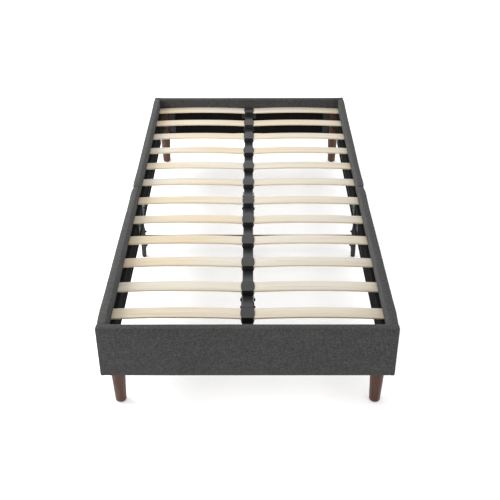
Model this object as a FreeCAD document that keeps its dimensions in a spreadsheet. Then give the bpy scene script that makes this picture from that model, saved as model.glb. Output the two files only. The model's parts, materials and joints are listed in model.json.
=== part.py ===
"""Upholstered platform bed frame for a 39 by 80 inch mattress, as separate pieces.

Frame of the model: +Z up, the floor at Z = 0, the bed's centre over the origin.
X runs across the bed and Y along it, with the foot end at -Y and the head end at +Y.
"""
import FreeCAD, Part
import Sketcher
import math
import os

os.makedirs("parts", exist_ok=True)
doc = FreeCAD.newDocument("bed_frame")

# ---------------------------------------------------------------------------
# Driving dimensions, in millimetres
# ---------------------------------------------------------------------------
DIMENSIONS = [
    ("overall_width", 1052),
    ("overall_length", 2092),
    ("rail_top", 370),
    ("rail_bottom", 162),
    ("rail_thickness", 30),
    ("outer_padding", 7),
    ("top_padding", 6),
    ("cloth", 1.5),
    ("inner_turn", 56),
    ("rail_joint_gap", 2),
    ("cover_rounding", 5),
    # wrapped wooden ledge under the outer slat ends
    ("ledge_top", 316),
    ("ledge_width", 14),
    ("ledge_depth", 24),
    ("ledge_tail_depth", 7),
    ("ledge_end_gap", 4),
    # bent slats
    ("slat_width", 60),
    ("slat_thickness", 7),
    ("slat_bow", 7),
    ("slat_pitch", 168),
    ("slat_start", 126),
    ("slat_outer_gap", 0.5),
    ("slat_inner_gap", 4),
    # slat holders on the beam
    ("holder_top", 327),
    ("holder_length", 65),
    ("holder_waist", 44),
    ("holder_bulge", 53),
    ("holder_roof", 2.2),
    ("holder_side", 2.2),
    ("holder_web", 4),
    ("holder_rounding", 1.2),
    # centre beam
    ("beam_width", 42),
    ("beam_height", 40),
    ("beam_top", 303),
    ("beam_sheet", 1.5),
    ("beam_corner", 4),
    ("beam_gap", 2),
    ("stub_length", 191),
    ("cradle_place", 215.5),
    ("flange_width", 80),
    ("flange_height", 56),
    ("flange_rise", 8),
    ("flange_sheet", 3),
    ("cradle_sheet", 3),
    ("cradle_clearance", 0.75),
    ("cradle_length", 124),
    ("cradle_drop", 12),
    ("middle_cradle_length", 168),
    ("bolt_spacing", 49),
    ("middle_bolt_spacing", 54),
    ("bolt_diameter", 8),
    ("bolt_head_diameter", 13),
    ("bolt_head_height", 4.5),
    ("bolt_head_rounding", 2.5),
    # tapered corner legs
    ("leg_inset", 51),
    ("leg_foot_diameter", 41),
    ("leg_shoulder_diameter", 54),
    ("leg_block", 38),
    ("leg_top", 308),
    ("leg_bolt_level", 210),
    ("glide_height", 3),
    ("glide_diameter", 30),
    ("leg_foot_rounding", 3),
    ("leg_block_rounding", 4),
    ("rail_clearance", 0.5),
    # steel corner brackets
    ("bracket_sheet", 3),
    ("bracket_flange", 79),
    ("bracket_bottom", 170),
    # slim steel support legs and their crossbars
    ("support_offset", -14),
    ("tube_size", 20),
    ("tube_sheet", 1.5),
    ("tube_rounding", 2),
    ("tube_bottom", 12),
    ("support_top", 284),
    ("plate_sheet", 2),
    ("plate_length", 220),
    ("plate_bottom", 186),
    ("plate_bolt_inset", 22),
    ("plate_bolt_near", 50),
    ("plate_bolt_far", 80),
    ("crossbar_top", 114),
    ("crossbar_size", 20),
    ("crossbar_plate_bottom", 46),
    ("crossbar_plate_top", 152),
    ("lower_knob_level", 62),
    ("upper_knob_level", 137),
    ("knob_length", 8),
    ("saddle_length", 70),
    ("saddle_width", 40),
    # inserts and levellers
    ("insert_depth", 30),
    ("insert_flange", 2),
    ("leveller_base", 9.8),
    ("leveller_diameter", 19.6),
    ("leveller_rounding", 1.5),
    ("stud_diameter", 8),
    ("stud_length", 28),
    ("stud_clearance", 0.1),
]
SLATS_PER_HALF = 6

sizes = doc.addObject("Spreadsheet::Sheet", "sizes")
for row, (alias, value) in enumerate(DIMENSIONS, start=1):
    sizes.set("A%d" % row, alias)
    sizes.set("B%d" % row, str(value))
    sizes.setAlias("B%d" % row, alias)
doc.recompute()


def size(alias):
    """The number held in one cell of the sheet."""
    return float(sizes.get(alias))


def bound(text):
    """Turns plain cell names in a formula into references to the sheet."""
    for alias, _ in sorted(DIMENSIONS, key=lambda item: -len(item[0])):
        text = replace_word(text, alias, "sizes." + alias)
    return text


def replace_word(text, word, replacement):
    """Replaces a whole word, and leaves a word that has already been bound."""
    pieces = []
    rest = text
    while word in rest:
        start = rest.index(word)
        end = start + len(word)
        before = rest[start - 1] if start else " "
        after = rest[end] if end < len(rest) else " "
        whole = not (before.isalnum() or before in "._") and not (after.isalnum() or after == "_")
        pieces.append(rest[:start] + (replacement if whole else word))
        rest = rest[end:]
    return "".join(pieces) + rest


# ---------------------------------------------------------------------------
# Building helpers
# ---------------------------------------------------------------------------
nodes = {}
counter = {"value": 0}


def fresh(stem):
    """A name for an object that is only a step on the way to a piece."""
    counter["value"] += 1
    return "%s_%03d" % (stem, counter["value"])


def piece(label, shape_object):
    """Marks an object as a finished piece of the bed."""
    shape_object.Label = label
    nodes[label] = shape_object
    return shape_object


def span(sign, near, far):
    """A low and high limit, from a near and a far distance on one side of zero."""
    if sign > 0:
        return near, far
    return "-(%s)" % far, "-(%s)" % near


def around(centre, width):
    """A low and high limit, from a centre and a full width."""
    return "%s - (%s) / 2" % (centre, width), "%s + (%s) / 2" % (centre, width)


def block(x, y, z):
    """A rectangular block between low and high limits along X, Y and Z."""
    box = doc.addObject("Part::Box", fresh("block"))
    for side, axis, (low, high) in (("Length", "x", x), ("Width", "y", y), ("Height", "z", z)):
        box.setExpression(side, bound("(%s) - (%s)" % (high, low)))
        box.setExpression("Placement.Base." + axis, bound(low))
    return box


def round_bar(axis, centre, diameter, low, high):
    """A cylinder along one axis; centre holds its two other coordinates, in X, Y, Z order."""
    bar = doc.addObject("Part::Cylinder", fresh("round"))
    bar.setExpression("Radius", bound("(%s) / 2" % diameter))
    bar.setExpression("Height", bound("(%s) - (%s)" % (high, low)))
    if axis == "z":
        start = (centre[0], centre[1], low)
    elif axis == "x":
        bar.Placement.Rotation = FreeCAD.Rotation(FreeCAD.Vector(0, 1, 0), 90)
        start = (low, centre[0], centre[1])
    else:
        bar.Placement.Rotation = FreeCAD.Rotation(FreeCAD.Vector(1, 0, 0), -90)
        start = (centre[0], low, centre[1])
    for name, formula in zip("xyz", start):
        bar.setExpression("Placement.Base." + name, bound(formula))
    return bar


def join(*parts):
    """Fuses several shapes into one solid."""
    fused = doc.addObject("Part::MultiFuse", fresh("joined"))
    fused.Shapes = list(parts)
    return fused


def cut(base, *tools):
    """Takes several shapes away from a base."""
    result = base
    for tool in tools:
        step = doc.addObject("Part::Cut", fresh("cut"))
        step.Base = result
        step.Tool = tool
        result = step
    return result


def group(*parts):
    """Separate solids that share one node."""
    together = doc.addObject("Part::Compound", fresh("group"))
    together.Links = list(parts)
    return together


def rounded(base, radius, chosen):
    """Rounds the edges that the test picks."""
    doc.recompute()
    fillet = doc.addObject("Part::Fillet", fresh("fillet"))
    fillet.Base = base
    picked = [number for number, edge in enumerate(base.Shape.Edges, start=1) if chosen(edge)]
    fillet.Edges = [(number, radius, radius) for number in picked]
    return fillet


def runs_along(axis):
    """A test for straight edges that run along one axis."""
    def test(edge):
        ends = [vertex.Point for vertex in edge.Vertexes]
        if len(ends) != 2:
            return False
        step = ends[1] - ends[0]
        return abs(abs(step[axis]) - step.Length) < 1e-6
    return test


X_AXIS, Y_AXIS, Z_AXIS = 0, 1, 2
HALF_WIDTH = "overall_width / 2"
HALF_LENGTH = "overall_length / 2"
INNER_X = "(overall_width / 2 - rail_thickness)"
INNER_Y = "(overall_length / 2 - rail_thickness)"
SIDES = (("left", -1), ("right", 1))
ENDS = (("foot", -1), ("head", 1))


# ---------------------------------------------------------------------------
# Upholstered panels and rails
# ---------------------------------------------------------------------------
def upholster(label, ring, board, lining_space):
    """The padded cover: a rounded bar with room for its board and its lining."""
    radius = size("cover_rounding")
    level = size("rail_top")

    def upper(edge):
        low = min(vertex.Point.z for vertex in edge.Vertexes)
        return low > level - 1e-6
    soft = rounded(ring, radius, upper)
    piece(label, cut(soft, board, lining_space))


def end_panel(end, sign):
    """Foot or head panel: a full-width board, its cover and its inner lining."""
    outer = block(("-(%s)" % HALF_WIDTH, HALF_WIDTH), span(sign, INNER_Y, HALF_LENGTH),
                  ("rail_bottom", "rail_top"))
    across = ("-(%s - outer_padding)" % HALF_WIDTH, "%s - outer_padding" % HALF_WIDTH)
    depth = span(sign, INNER_Y + " + cloth", HALF_LENGTH + " - outer_padding")
    height = ("rail_bottom + cloth", "rail_top - top_padding")
    board = block(across, depth, height)
    space = block(across, span(sign, INNER_Y + " - 1", INNER_Y + " + cloth"),
                  ("rail_bottom - 1", "rail_top - inner_turn"))
    upholster(end + "_panel_cover", outer, board, space)
    piece(end + "_panel_board", block(across, depth, height))
    piece(end + "_panel_lining", block(across, span(sign, INNER_Y, INNER_Y + " + cloth"),
                                       ("rail_bottom", "rail_top - inner_turn")))


def rail_half(side, side_sign, end, end_sign):
    """One half of a side rail: board and cover; returns its lining."""
    reach = span(end_sign, "rail_joint_gap / 2", INNER_Y)
    outer = block(span(side_sign, INNER_X, HALF_WIDTH), reach, ("rail_bottom", "rail_top"))
    inside = span(end_sign, "rail_joint_gap / 2 + top_padding", INNER_Y)
    width = span(side_sign, INNER_X + " + cloth", HALF_WIDTH + " - outer_padding")
    height = ("rail_bottom + cloth", "rail_top - top_padding")
    board = block(width, inside, height)
    past = span(end_sign, "rail_joint_gap / 2 + top_padding", INNER_Y + " + 1")
    space = block(span(side_sign, INNER_X + " - 1", INNER_X + " + cloth"), past,
                  ("rail_bottom - 1", "rail_top - inner_turn"))
    name = "%s_rail_%s" % (side, end)
    upholster(name + "_cover", outer, board, space)
    piece(name + "_board", block(width, inside, height))
    return block(span(side_sign, INNER_X, INNER_X + " + cloth"), inside,
                 ("rail_bottom", "rail_top - inner_turn"))


for end_name, direction in ENDS:
    end_panel(end_name, direction)
for side_name, side_direction in SIDES:
    linings = [rail_half(side_name, side_direction, end_name, direction)
               for end_name, direction in ENDS]
    piece(side_name + "_rail_linings", group(*linings))


# ---------------------------------------------------------------------------
# Ledges, joint plates and corner brackets
# ---------------------------------------------------------------------------
def ledge(side_sign, end_sign):
    """Wrapped wooden batten along half a rail, thinned at its end to pass over the leg."""
    across = span(side_sign, INNER_X + " - ledge_width", INNER_X)
    batten = block(across, span(end_sign, "ledge_end_gap",
                                INNER_Y + " - bracket_flange - ledge_end_gap"),
                   ("ledge_top - ledge_depth", "ledge_top"))
    thin_end = block(across, span(end_sign, "ledge_end_gap", INNER_Y + " - ledge_end_gap"),
                     ("ledge_top - ledge_tail_depth", "ledge_top"))
    return join(batten, thin_end)


for side_name, side_direction in SIDES:
    piece(side_name + "_slat_ledges", group(*[ledge(side_direction, sign) for _, sign in ENDS]))

piece("rail_joint_plates", group(*[
    block(span(sign, INNER_X + " - plate_sheet", INNER_X), around("0", "plate_length"),
          ("plate_bottom", "support_top")) for _, sign in SIDES]))


def corner_bracket(side, side_sign, end, end_sign):
    """Upright steel angle that ties a side rail to a panel, with the leg in its fold."""
    tall = ("bracket_bottom", "leg_top")
    on_panel = block(span(side_sign, INNER_X + " - bracket_flange", INNER_X),
                     span(end_sign, INNER_Y + " - bracket_sheet", INNER_Y), tall)
    on_rail = block(span(side_sign, INNER_X + " - bracket_sheet", INNER_X),
                    span(end_sign, INNER_Y + " - bracket_flange", INNER_Y), tall)
    piece("%s_%s_corner_bracket" % (end, side), join(on_panel, on_rail))


def corner_leg(side, side_sign, end, end_sign):
    """Tapered round leg, with a squared block above its shoulder that fits the corner."""
    taper = doc.addObject("Part::Cone", fresh("taper"))
    taper.setExpression("Radius1", bound("leg_foot_diameter / 2"))
    taper.setExpression("Radius2", bound("leg_shoulder_diameter / 2"))
    taper.setExpression("Height", bound("rail_bottom - glide_height"))
    centre_x = "%d * (%s - leg_inset)" % (side_sign, HALF_WIDTH)
    centre_y = "%d * (%s - leg_inset)" % (end_sign, HALF_LENGTH)
    taper.setExpression("Placement.Base.x", bound(centre_x))
    taper.setExpression("Placement.Base.y", bound(centre_y))
    taper.setExpression("Placement.Base.z", bound("glide_height"))
    foot = rounded(taper, size("leg_foot_rounding"),
                   lambda edge: max(v.Point.z for v in edge.Vertexes)
                   < size("glide_height") + 1e-6)
    in_x = span(side_sign, INNER_X + " - bracket_sheet - leg_block", INNER_X + " - bracket_sheet")
    in_y = span(end_sign, INNER_Y + " - bracket_sheet - leg_block", INNER_Y + " - bracket_sheet")
    top = rounded(block(in_x, in_y, ("rail_bottom - rail_clearance", "leg_top")),
                  size("leg_block_rounding"), runs_along(Z_AXIS))
    hole = round_bar("y", (centre_x, "leg_bolt_level"), "bolt_diameter",
                     *span(end_sign, INNER_Y + " - bracket_sheet - leg_block - 1", INNER_Y))
    piece("%s_%s_leg" % (end, side), cut(join(foot, top), hole))
    return round_bar("z", (centre_x, centre_y), "glide_diameter", "0", "glide_height")


glides = []
for end_name, end_direction in ENDS:
    for side_name, side_direction in SIDES:
        corner_bracket(side_name, side_direction, end_name, end_direction)
        glides.append(corner_leg(side_name, side_direction, end_name, end_direction))
piece("leg_glides", group(*glides))


# ---------------------------------------------------------------------------
# Centre beam
# ---------------------------------------------------------------------------
def beam_tube(y):
    """A stretch of the rounded rectangular beam tube between two Y limits."""
    outside = rounded(block(around("0", "beam_width"), y, ("beam_top - beam_height", "beam_top")),
                      size("beam_corner"), runs_along(Y_AXIS))
    inside = block(around("0", "beam_width - 2 * beam_sheet"), (y[0] + " - 1", y[1] + " + 1"),
                   ("beam_top - beam_height + beam_sheet", "beam_top - beam_sheet"))
    hollow = rounded(inside, size("beam_corner") - size("beam_sheet"), runs_along(Y_AXIS))
    return cut(outside, hollow)


JOINT_Y = "(%s - stub_length)" % INNER_Y
CRADLE_Y = "(%s - cradle_place)" % INNER_Y
BOLT_LEVEL = "beam_top - beam_height / 2"
MIDDLE_BOLTS = {"foot": "-middle_bolt_spacing", "head": "middle_bolt_spacing"}


def cradle_bolts(end_sign, *steps):
    """Y places of an end cradle's cross bolts, counted outwards from its middle one."""
    return ["%d * (%s + (%d) * bolt_spacing)" % (end_sign, CRADLE_Y, step) for step in steps]


def drilled(base, places):
    """Bores cross-bolt holes through a tube or cradle."""
    holes = [round_bar("x", (place, BOLT_LEVEL), "bolt_diameter + 0.2", "-(beam_width)", "beam_width")
             for place in places]
    return cut(base, *holes)


cradles = {"middle": ("0", "middle_cradle_length", list(MIDDLE_BOLTS.values()))}
for end_name, direction in ENDS:
    stretch = span(direction, "beam_gap / 2", JOINT_Y + " - beam_gap / 2")
    piece("beam_%s_half" % end_name,
          drilled(beam_tube(stretch), [MIDDLE_BOLTS[end_name], *cradle_bolts(direction, -1, 0)]))
    stub = beam_tube(span(direction, JOINT_Y + " + beam_gap / 2", INNER_Y + " - flange_sheet / 2"))
    plate = block(around("0", "flange_width"),
                  span(direction, INNER_Y + " - flange_sheet", INNER_Y),
                  ("beam_top + flange_rise - flange_height", "beam_top + flange_rise"))
    piece("beam_%s_stub" % end_name, drilled(join(stub, plate), cradle_bolts(direction, 1)))
    cradles[end_name] = ("%d * %s" % (direction, CRADLE_Y), "cradle_length",
                         cradle_bolts(direction, -1, 0, 1))

for cradle_name, (centre, length, places) in cradles.items():
    room = "beam_width + 2 * cradle_clearance"
    outside = block(around("0", room + " + 2 * cradle_sheet"), around(centre, length),
                    ("beam_top - beam_height - cradle_clearance - cradle_sheet",
                     "beam_top - cradle_drop"))
    inside = block(around("0", room), around(centre, length + " + 2"),
                   ("beam_top - beam_height - cradle_clearance", "beam_top + 1"))
    piece("beam_%s_cradle" % cradle_name,
          drilled(cut(outside, inside), places))


def cross_bolt(y):
    """One cross bolt: a shank through beam and cradle, with a domed head at each side."""
    reach = "(beam_width / 2 + cradle_clearance + cradle_sheet)"
    shank = round_bar("x", (y, BOLT_LEVEL), "bolt_diameter", "-" + reach, reach)
    heads = []
    for _, sign in SIDES:
        head = round_bar("x", (y, BOLT_LEVEL), "bolt_head_diameter",
                         *span(sign, reach, reach + " + bolt_head_height"))
        limit = size("beam_width") / 2 + size("cradle_clearance") + size("cradle_sheet") \
            + size("bolt_head_height") - 0.01
        heads.append(rounded(head, size("bolt_head_rounding"),
                             lambda edge, limit=limit: abs(edge.CenterOfMass.x) > limit))
    return join(shank, *heads)


piece("beam_bolts", group(*[cross_bolt(place) for _, _, places in cradles.values()
                            for place in places]))


# ---------------------------------------------------------------------------
# Slats and their holders
# ---------------------------------------------------------------------------
def origin_plane(body, role):
    """One of a body's own origin planes."""
    return next(item for item in body.Origin.OriginFeatures if item.Role == role)


SLAT_SPAN = "(%s - slat_outer_gap - slat_inner_gap)" % INNER_X
SLAT_RADIUS = "((%s / 2) ^ 2 + slat_bow ^ 2) / (2 * slat_bow)" % SLAT_SPAN


def bent_slat(name, y, sign):
    """A birch slat bowed upwards, as a pad of its curved profile."""
    body = doc.addObject("PartDesign::Body", fresh(name))
    sketch = body.newObject("Sketcher::SketchObject", fresh("profile"))
    sketch.AttachmentSupport = (origin_plane(body, "XZ_Plane"), "")
    sketch.MapMode = "FlatFace"
    inner = size("slat_inner_gap")
    outer = size("overall_width") / 2 - size("rail_thickness") - size("slat_outer_gap")
    length = outer - inner
    bow = size("slat_bow")
    radius = ((length / 2) ** 2 + bow ** 2) / (2 * bow)
    thickness = size("slat_thickness")
    low = size("ledge_top")
    middle = sign * (inner + outer) / 2
    centre = FreeCAD.Vector(middle, low + bow - radius, 0)
    half = math.asin(length / 2 / radius)
    up = math.pi / 2
    lower = Part.ArcOfCircle(Part.Circle(centre, FreeCAD.Vector(0, 0, 1), radius),
                             up - half, up + half)
    top = radius + thickness
    half_top = math.asin(length / 2 / top)
    upper = Part.ArcOfCircle(Part.Circle(centre, FreeCAD.Vector(0, 0, 1), top),
                             up - half_top, up + half_top)
    sketch.addGeometry(lower)
    sketch.addGeometry(upper)
    sketch.addGeometry(Part.LineSegment(lower.StartPoint, upper.StartPoint))
    sketch.addGeometry(Part.LineSegment(lower.EndPoint, upper.EndPoint))
    add = sketch.addConstraint
    add(Sketcher.Constraint("Coincident", 0, 1, 2, 1))
    add(Sketcher.Constraint("Coincident", 1, 1, 2, 2))
    add(Sketcher.Constraint("Coincident", 0, 2, 3, 1))
    add(Sketcher.Constraint("Coincident", 1, 2, 3, 2))
    add(Sketcher.Constraint("Coincident", 0, 3, 1, 3))
    add(Sketcher.Constraint("Vertical", 2))
    add(Sketcher.Constraint("Vertical", 3))
    bind = (
        ("Radius", (0, radius), SLAT_RADIUS),
        ("Radius", (1, top), SLAT_RADIUS + " + slat_thickness"),
        ("DistanceX", (0, 2, 0, 1, length), SLAT_SPAN),
        ("DistanceY", (-1, 1, 0, 1, low), "ledge_top"),
    )
    for kind, values, formula in bind:
        number = add(Sketcher.Constraint(kind, *values))
        sketch.setExpression("Constraints[%d]" % number, bound(formula))
    if sign > 0:
        number = add(Sketcher.Constraint("DistanceX", -1, 1, 0, 1, outer))
        place = "%s - slat_outer_gap" % INNER_X
    else:
        number = add(Sketcher.Constraint("DistanceX", 0, 1, -1, 1, inner))
        place = "slat_inner_gap"
    sketch.setExpression("Constraints[%d]" % number, bound(place))
    pad = body.newObject("PartDesign::Pad", fresh("pad"))
    pad.Profile = sketch
    pad.SideType = "Symmetric"
    pad.setExpression("Length", bound("slat_width"))
    sketch.Visibility = False
    body.Tip = pad
    body.setExpression("Placement.Base.y", bound(y))
    return body


def slat_place(row):
    """The Y formula of one slat row: six to a half, the same from the start of each half."""
    if row < SLATS_PER_HALF:
        return "-%s + slat_start + %d * slat_pitch" % (INNER_Y, row)
    return "slat_start + %d * slat_pitch" % (row - SLATS_PER_HALF)


def holder(y):
    """Double plastic socket that clips onto the beam and takes two slat ends."""
    shapes = [block(around("0", "holder_waist"), around(y, "holder_length"),
                    ("beam_top", "holder_top"))]
    rise = (size("holder_bulge") - size("holder_waist")) / 2
    reach = size("holder_length") / 2
    radius = (reach ** 2 + rise ** 2) / (2 * rise)
    for _, sign in SIDES:
        centre = "%d * (holder_bulge / 2 - %.6f)" % (sign, radius)
        disc = round_bar("z", (centre, y), "%.6f" % (2 * radius), "beam_top", "holder_top")
        half = block(span(sign, "holder_waist / 2 - 1", "holder_bulge / 2 + 1"),
                     around(y, "holder_length"), ("beam_top", "holder_top"))
        bulge = doc.addObject("Part::Common", fresh("bulge"))
        bulge.Base = disc
        bulge.Tool = half
        shapes.append(bulge)
    solid = join(*shapes)
    level = size("holder_top")
    soft = rounded(solid, size("holder_rounding"),
                   lambda edge: min(v.Point.z for v in edge.Vertexes) > level - 1e-6)
    pockets = [block(span(sign, "holder_web / 2", "holder_bulge"),
                     around(y, "holder_length - 2 * holder_side"),
                     ("ledge_top - 0.2", "holder_top - holder_roof")) for _, sign in SIDES]
    return cut(soft, *pockets)


rows = range(2 * SLATS_PER_HALF)
for row in rows:
    pair = [bent_slat("slat", slat_place(row), sign) for _, sign in SIDES]
    piece("slat_row_%02d" % (row + 1), group(*pair))
piece("slat_holders", group(*[holder(slat_place(row)) for row in rows]))


# ---------------------------------------------------------------------------
# Steel support legs, crossbars, inserts and levellers
# ---------------------------------------------------------------------------
def upright_tube(x, top):
    """The outside of an upright square tube."""
    return rounded(block(around(x, "tube_size"), around("support_offset", "tube_size"),
                         ("tube_bottom", top)), size("tube_rounding"), runs_along(Z_AXIS))


def tube_room(x, low, high):
    """The room inside an upright square tube between two levels."""
    inner = "tube_size - 2 * tube_sheet"
    return block(around(x, inner), around("support_offset", inner), (low, high))


CRADLE_UNDERSIDE = "(beam_top - beam_height - cradle_clearance - cradle_sheet)"
saddle = block(around("0", "saddle_width"), around("support_offset", "saddle_length"),
               (CRADLE_UNDERSIDE + " - plate_sheet", CRADLE_UNDERSIDE))
centre_top = CRADLE_UNDERSIDE + " - plate_sheet / 2"
piece("centre_leg", cut(join(upright_tube("0", centre_top), saddle),
                        tube_room("0", "tube_bottom - 1", centre_top + " - tube_sheet")))

SUPPORT_X = "(%s - cloth)" % INNER_X
RAIL_SEAT = "(rail_bottom - rail_clearance)"
for side_name, side_direction in SIDES:
    # The rail stands on the leg's capped outer half; the inner half goes on up beside it.
    leg_x = "%d * %s" % (side_direction, SUPPORT_X)
    notch = block(span(side_direction, INNER_X + " - plate_sheet", INNER_X + " + tube_size"),
                  around("support_offset", "2 * tube_size"), (RAIL_SEAT, "support_top + 1"))
    piece(side_name + "_support_leg",
          cut(upright_tube(leg_x, "support_top"), notch,
              tube_room(leg_x, "tube_bottom - 1", RAIL_SEAT + " - tube_sheet"),
              tube_room(leg_x, RAIL_SEAT, "support_top - tube_sheet")))


def crossbar(side, sign):
    """Square tube between centre leg and side leg, with an upright plate at each end."""
    inner = "tube_size / 2"
    outer = "(%s - tube_size / 2)" % SUPPORT_X
    tube = block(span(sign, inner + " + 1", outer + " - 1"),
                 around("support_offset", "crossbar_size - 2"),
                 ("crossbar_top - crossbar_size", "crossbar_top"))
    plates = [block(span(sign, near, far), around("support_offset", "tube_size"),
                    ("crossbar_plate_bottom", "crossbar_plate_top"))
              for near, far in ((inner, inner + " + plate_sheet"),
                                (outer + " - plate_sheet", outer))]
    piece(side + "_crossbar", join(tube, *plates))


for side_name, side_direction in SIDES:
    crossbar(side_name, side_direction)


def knob_bolts():
    """Bolts at the crossbar plates, corner legs and joint plates."""
    bolts = []
    for _, sign in SIDES:
        face = "(%s - tube_size / 2 - plate_sheet)" % SUPPORT_X
        for level in ("lower_knob_level", "upper_knob_level"):
            bolts.append(round_bar("x", ("support_offset", level), "bolt_head_diameter",
                                   *span(sign, face + " - knob_length", face)))
            middle = "(tube_size / 2 + plate_sheet)"
            bolts.append(round_bar("x", ("support_offset", level), "bolt_head_diameter",
                                   *span(sign, middle, middle + " + bolt_head_height")))
        for level in ("plate_bottom + plate_bolt_inset", "support_top - plate_bolt_inset"):
            for y in ("-plate_bolt_far", "-plate_bolt_near", "plate_bolt_near", "plate_bolt_far"):
                bolts.append(round_bar("x", (y, level), "bolt_head_diameter",
                                       *span(sign, INNER_X + " - plate_sheet - bolt_head_height",
                                             INNER_X + " - plate_sheet")))
        for _, end_sign in ENDS:
            centre_x = "%d * (%s - leg_inset)" % (sign, HALF_WIDTH)
            front = INNER_Y + " - bracket_sheet - leg_block"
            shank = round_bar("y", (centre_x, "leg_bolt_level"), "bolt_diameter - 0.2",
                              *span(end_sign, front, INNER_Y + " - bracket_sheet"))
            head = round_bar("y", (centre_x, "leg_bolt_level"), "bolt_head_diameter",
                             *span(end_sign, front + " - bolt_head_height", front))
            bolts.append(join(shank, head))
    return bolts


piece("frame_bolts", group(*knob_bolts()))

LEG_PLACES = (("left", "-" + SUPPORT_X), ("centre", "0"), ("right", SUPPORT_X))
inserts = []
for place_name, x in LEG_PLACES:
    plug = join(block(around(x, "tube_size - 2 * tube_sheet"),
                      around("support_offset", "tube_size - 2 * tube_sheet"),
                      ("tube_bottom - insert_flange / 2", "tube_bottom + insert_depth")),
                block(around(x, "tube_size"), around("support_offset", "tube_size"),
                      ("tube_bottom - insert_flange", "tube_bottom")))
    bore = round_bar("z", (x, "support_offset"), "stud_diameter + 2 * stud_clearance",
                     "0", "tube_bottom + insert_depth + 1")
    inserts.append(cut(plug, bore))
    base = round_bar("z", (x, "support_offset"), "leveller_diameter", "0", "leveller_base")
    foot = rounded(base, size("leveller_rounding"),
                   lambda edge: edge.Curve.TypeId == "Part::GeomCircle")
    stud = round_bar("z", (x, "support_offset"), "stud_diameter",
                     "leveller_base - 1", "leveller_base + stud_length")
    piece(place_name + "_leveller", join(foot, stud))
piece("leg_inserts", group(*inserts))


# ---------------------------------------------------------------------------
# Checks and export
# ---------------------------------------------------------------------------
doc.recompute()
for item in doc.Objects:
    if "Invalid" in item.State or "Error" in item.State:
        raise RuntimeError("failed object: %s (%s) %s" % (item.Name, item.Label, item.State))
for label, item in nodes.items():
    shape = item.Shape
    if shape.isNull() or not shape.isValid() or not shape.Solids:
        raise RuntimeError("bad shape: " + label)

for label, item in nodes.items():
    item.Shape.exportStep("parts/%s.step" % label)
print("pieces:", len(nodes))
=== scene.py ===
"""Looks of the upholstered platform bed frame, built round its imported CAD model."""
import json
import math

import bpy
import numpy as np
from mathutils import Matrix, Vector, noise

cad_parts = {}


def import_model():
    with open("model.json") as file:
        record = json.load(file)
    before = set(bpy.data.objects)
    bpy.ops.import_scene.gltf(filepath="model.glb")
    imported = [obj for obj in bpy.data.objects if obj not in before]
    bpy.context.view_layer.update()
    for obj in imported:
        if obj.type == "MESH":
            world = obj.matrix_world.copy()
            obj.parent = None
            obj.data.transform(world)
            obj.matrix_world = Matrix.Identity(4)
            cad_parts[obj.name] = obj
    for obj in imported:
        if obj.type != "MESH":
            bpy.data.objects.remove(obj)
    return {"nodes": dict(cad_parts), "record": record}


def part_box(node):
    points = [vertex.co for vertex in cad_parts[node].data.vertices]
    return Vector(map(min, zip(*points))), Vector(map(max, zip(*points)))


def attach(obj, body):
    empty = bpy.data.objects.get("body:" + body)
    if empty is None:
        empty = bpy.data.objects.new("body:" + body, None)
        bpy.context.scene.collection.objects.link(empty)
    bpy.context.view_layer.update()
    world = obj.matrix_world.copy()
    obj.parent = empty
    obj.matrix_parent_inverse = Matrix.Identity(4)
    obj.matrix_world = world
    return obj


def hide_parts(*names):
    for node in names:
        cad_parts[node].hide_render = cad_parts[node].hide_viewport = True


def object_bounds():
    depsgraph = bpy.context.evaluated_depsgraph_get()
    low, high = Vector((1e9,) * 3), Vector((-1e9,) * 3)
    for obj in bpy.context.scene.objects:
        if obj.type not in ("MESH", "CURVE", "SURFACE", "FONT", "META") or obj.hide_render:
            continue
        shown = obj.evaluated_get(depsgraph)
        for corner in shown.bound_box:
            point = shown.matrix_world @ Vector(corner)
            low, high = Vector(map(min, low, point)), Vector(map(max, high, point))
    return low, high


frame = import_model()
cad_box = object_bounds()

MM = 0.001
BED = "bed"
SIDES = (("left", -1), ("right", 1))
ENDS = (("foot", -1), ("head", 1))
SLAT_ROWS = 12
LOW, HIGH = (Vector(corner) for corner in cad_box)
INNER_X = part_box("right_rail_foot_cover")[0].x
INNER_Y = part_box("head_panel_cover")[0].y
RAIL_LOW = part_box("foot_panel_cover")[0].z
HEM_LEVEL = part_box("foot_panel_lining")[1].z


# ---------------------------------------------------------------------------
# Small helpers
# ---------------------------------------------------------------------------
def mesh_object(name, vertices, faces, smooth=True):
    """A new object from plain lists of points and faces."""
    mesh = bpy.data.meshes.new(name)
    mesh.from_pydata([tuple(v) for v in vertices], [], faces)
    mesh.validate()
    item = bpy.data.objects.new(name, mesh)
    bpy.context.scene.collection.objects.link(item)
    if smooth:
        for face in mesh.polygons:
            face.use_smooth = True
    return item


def finish_piece(item, material, replaced=()):
    """Gives a new piece its finish and its body, and hides the CAD nodes it stands for."""
    item.data.materials.clear()
    item.data.materials.append(material)
    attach(item, BED)
    if replaced:
        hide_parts(*replaced)
    return item


def apply_modifiers(item):
    """Turns an object's modifiers into plain mesh."""
    graph = bpy.context.evaluated_depsgraph_get()
    mesh = bpy.data.meshes.new_from_object(item.evaluated_get(graph))
    old = item.data
    item.modifiers.clear()
    item.data = mesh
    bpy.data.meshes.remove(old)
    return item


def shade_by_angle(item, degrees=35):
    """Smooth shading with crisp edges where faces meet more sharply than the angle."""
    mesh = item.data
    for face in mesh.polygons:
        face.use_smooth = True
    mesh.set_sharp_from_angle(angle=math.radians(degrees))


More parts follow.
